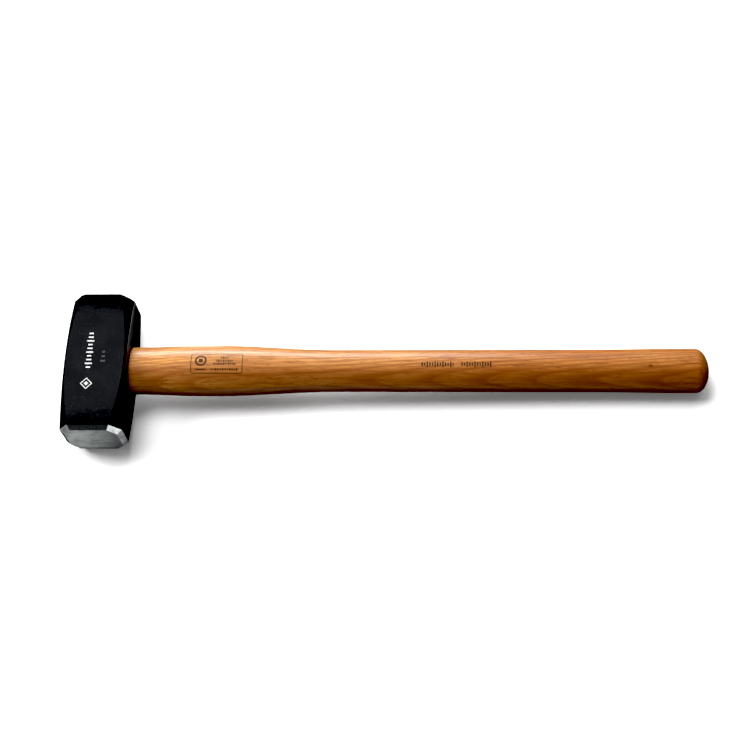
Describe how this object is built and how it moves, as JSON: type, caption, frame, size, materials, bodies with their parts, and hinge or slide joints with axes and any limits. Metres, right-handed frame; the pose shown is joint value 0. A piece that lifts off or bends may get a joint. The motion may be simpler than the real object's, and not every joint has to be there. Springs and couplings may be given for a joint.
{
  "type": "stone hammer",
  "caption": "Long-handled block hammer: forged double-faced steel head with bowed edge chamfers, wedged on an oval hardwood handle.",
  "frame": {"origin": "Midway along the whole hammer and midway between the two striking faces, on the plane of the lower cheek.", "axes": "+X runs along the handle away from the head, +Y runs along the head from one striking face to the other, +Z points out of the upper cheek."},
  "size_m": [0.6, 0.14, 0.056],
  "materials": {
    "black_enamel": "gloss",
    "hickory": "clear lacquer",
    "pale_wood": "sawn",
    "wedge_steel": "brushed"
  },
  "bodies": {
    "root": {"head": "black_enamel", "handle": "hickory", "wooden_wedge": "pale_wood", "steel_wedge_1": "wedge_steel", "steel_wedge_2": "wedge_steel"}
  },
  "joints": []
}
